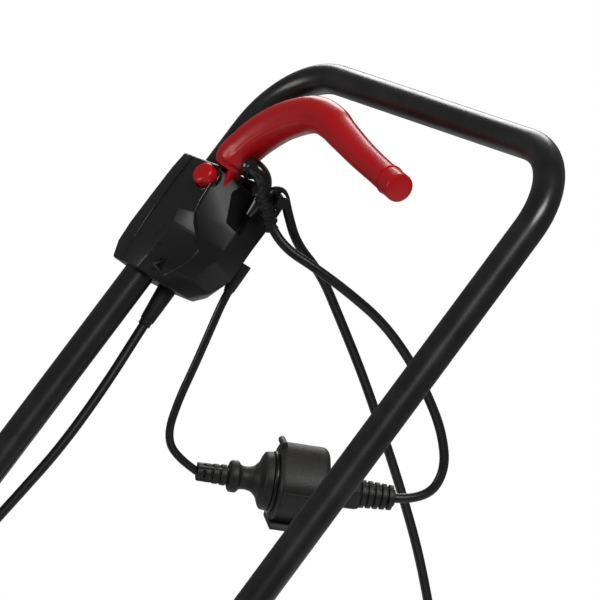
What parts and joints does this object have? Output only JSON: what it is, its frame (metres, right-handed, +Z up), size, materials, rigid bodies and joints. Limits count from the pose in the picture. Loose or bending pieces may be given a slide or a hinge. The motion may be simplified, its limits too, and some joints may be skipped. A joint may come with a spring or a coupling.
{
  "type": "push lawn mower",
  "caption": "Electric walk-behind lawn mower with folding tube handle, dead-man lever, plugged lead, rear chute and grass box.",
  "frame": {"origin": "on the ground under the middle of the mower's box, leads left out", "axes": "+Z up, +Y rearward to the crossbar, +X to the mower's left side"},
  "size_m": [0.4766, 1.2489, 0.991],
  "materials": {
    "deck_plastic": "glossy moulded red plastic",
    "cover_plastic": "fine-grained black plastic",
    "box_plastic": "grained dark plastic",
    "switch_plastic": "satin black plastic",
    "hook_plastic": "smooth black plastic",
    "red_plastic": "glossy red plastic",
    "handle_paint": "semi-gloss black powder coat on steel tube",
    "lead_rubber": "semi-gloss black sheath",
    "plug_rubber": "moulded black rubber",
    "wheel_plastic": "black moulded wheel with ribbed tread",
    "cap_plastic": "grey plastic",
    "steel": "zinc-plated steel",
    "spring_steel": "bright spring wire",
    "blade_steel": "ground steel with worn dark paint",
    "bracket_alloy": "die-cast alloy",
    "motor_iron": "laminated iron"
  },
  "bodies": {
    "deck": {"deck_shell": "deck_plastic", "front_axle": "steel", "rear_axle": "steel", "axle_retainers": "steel", "motor_bracket_lower": "bracket_alloy", "motor_bracket_upper": "bracket_alloy", "motor_stator": "motor_iron", "motor_bearings": "steel", "motor_screws": "steel", "motor_cover": "cover_plastic", "cover_screws": "steel", "lead_grommet": "lead_rubber", "lower_handle_left": "handle_paint", "lower_handle_right": "handle_paint", "lower_handle_bolts": "steel", "fold_bolts": "steel", "fold_saddles": "switch_plastic", "flap_hinge_rod": "steel", "motor_lead_lower": "lead_rubber", "motor_lead_bend": "lead_rubber", "lower_cable_clips": "switch_plastic"},
    "rotor": {"motor_shaft": "steel", "rotor_core": "motor_iron", "cooling_fan": "cover_plastic", "blade_carrier": "bracket_alloy", "cutting_blade": "blade_steel", "blade_bolt": "steel"},
    "front_left_wheel": {"wheel_front_left": "wheel_plastic", "hub_cap_front_left": "cap_plastic"},
    "front_right_wheel": {"wheel_front_right": "wheel_plastic", "hub_cap_front_right": "cap_plastic"},
    "rear_left_wheel": {"wheel_rear_left": "wheel_plastic", "hub_cap_rear_left": "cap_plastic"},
    "rear_right_wheel": {"wheel_rear_right": "wheel_plastic", "hub_cap_rear_right": "cap_plastic"},
    "upper_handle": {"upper_handle_tube": "handle_paint", "switch_shell_outer": "switch_plastic", "switch_shell_inner": "switch_plastic", "switch_screws": "steel", "micro_switch": "switch_plastic", "lever_pin": "steel", "lever_spring": "spring_steel", "button_spring": "spring_steel", "cable_hook": "hook_plastic", "cable_clips": "switch_plastic", "motor_lead_upper": "lead_rubber", "pigtail_cord": "lead_rubber", "mower_plug": "plug_rubber", "coupling": "plug_rubber", "extension_cord": "lead_rubber", "extension_coil": "lead_rubber", "extension_plug": "plug_rubber", "coil_tie": "switch_plastic"},
    "lever": {"switch_lever": "red_plastic"},
    "button": {"safety_button": "red_plastic"},
    "flap": {"discharge_flap": "cover_plastic"},
    "grass_box": {"grass_box_bin": "box_plastic", "grass_box_lid": "box_plastic"},
    "left_knob": {"fold_knob_left": "switch_plastic"},
    "right_knob": {"fold_knob_right": "switch_plastic"}
  },
  "joints": [
    {"name": "rotor_spin", "type": "hinge", "parent": "deck", "child": "rotor", "pos_m": [0, -0.314, 0.1], "axis": [0, 0, 1], "continuous": true},
    {"name": "front_left_wheel_spin", "type": "hinge", "parent": "deck", "child": "front_left_wheel", "pos_m": [0.168, -0.509, 0.07], "axis": [1, 0, 0], "continuous": true},
    {"name": "front_right_wheel_spin", "type": "hinge", "parent": "deck", "child": "front_right_wheel", "pos_m": [-0.168, -0.509, 0.07], "axis": [1, 0, 0], "continuous": true},
    {"name": "rear_left_wheel_spin", "type": "hinge", "parent": "deck", "child": "rear_left_wheel", "pos_m": [0.168, -0.109, 0.088], "axis": [1, 0, 0], "continuous": true},
    {"name": "rear_right_wheel_spin", "type": "hinge", "parent": "deck", "child": "rear_right_wheel", "pos_m": [-0.168, -0.109, 0.088], "axis": [1, 0, 0], "continuous": true},
    {"name": "handle_fold", "type": "hinge", "parent": "deck", "child": "upper_handle", "pos_m": [0, 0.17899, 0.57717], "axis": [1, 0, 0], "range_deg": [0, 134], "deforming": ["motor_lead_bend"]},
    {"name": "left_knob_turn", "type": "hinge", "parent": "deck", "child": "left_knob", "pos_m": [0.227, 0.17899, 0.57717], "axis": [1, 0, 0], "continuous": true},
    {"name": "right_knob_turn", "type": "hinge", "parent": "deck", "child": "right_knob", "pos_m": [-0.227, 0.17899, 0.57717], "axis": [1, 0, 0], "continuous": true},
    {"name": "lever_pull", "type": "hinge", "parent": "upper_handle", "child": "lever", "pos_m": [-0.14, 0.4832, 0.89507], "axis": [-1, 0, 0], "range_deg": [0, 13], "stiffness_Nm_per_rad": 1.2, "springref_deg": -14.32, "deforming": ["lever_spring"]},
    {"name": "button_press", "type": "slide", "parent": "upper_handle", "child": "button", "axis": [-0.1392, 0.7123, -0.6879], "range_m": [0, 0.004], "stiffness_N_per_m": 500, "springref_m": -0.002, "deforming": ["button_spring"]},
    {"name": "flap_lift", "type": "hinge", "parent": "deck", "child": "flap", "pos_m": [0, -0.094, 0.188], "axis": [1, 0, 0], "range_deg": [0, 75], "stiffness_Nm_per_rad": 0.15, "springref_deg": -34.38},
    {"name": "grass_box_pull", "type": "slide", "parent": "deck", "child": "grass_box", "axis": [0, 1, 0], "range_m": [0, 0.15]}
  ]
}
